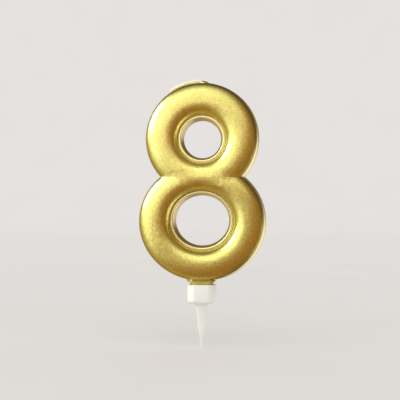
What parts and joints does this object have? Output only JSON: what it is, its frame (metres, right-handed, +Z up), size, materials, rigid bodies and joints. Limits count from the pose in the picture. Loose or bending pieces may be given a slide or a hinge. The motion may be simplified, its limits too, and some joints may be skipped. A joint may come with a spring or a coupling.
{
  "type": "number birthday candle",
  "caption": "Figure-eight birthday candle: wax with a gold metallic lacquer coat, flat back and domed front, braided wick, and a ribbed plastic pick with a cup.",
  "frame": {"origin": "centre of the underside of the pick's cup, where the icing meets it when the candle stands in a cake", "axes": "+Z up through the figure, -Y out of the domed front, +Y out of the flat back, +X to the right as seen from the front"},
  "size_m": [0.076, 0.013, 0.1594],
  "materials": {
    "wax": "satin",
    "gold_lacquer": "gloss",
    "wick_cotton": "matte",
    "pick_plastic": "satin"
  },
  "bodies": {
    "holder": {"cake_pick": "pick_plastic"},
    "candle": {"wax_core": "wax", "gold_coat": "gold_lacquer", "wick_core": "wick_cotton"},
    "wick": {"wick_tip": "wick_cotton"}
  },
  "joints": [
    {"name": "candle_lift", "type": "slide", "parent": "holder", "child": "candle", "axis": [0, 0, 1], "range_m": [0, 0.012]},
    {"name": "wick_bend", "type": "hinge", "parent": "candle", "child": "wick", "pos_m": [0, 0.001, 0.13196], "axis": [0, 1, 0], "range_deg": [0, 90]}
  ]
}
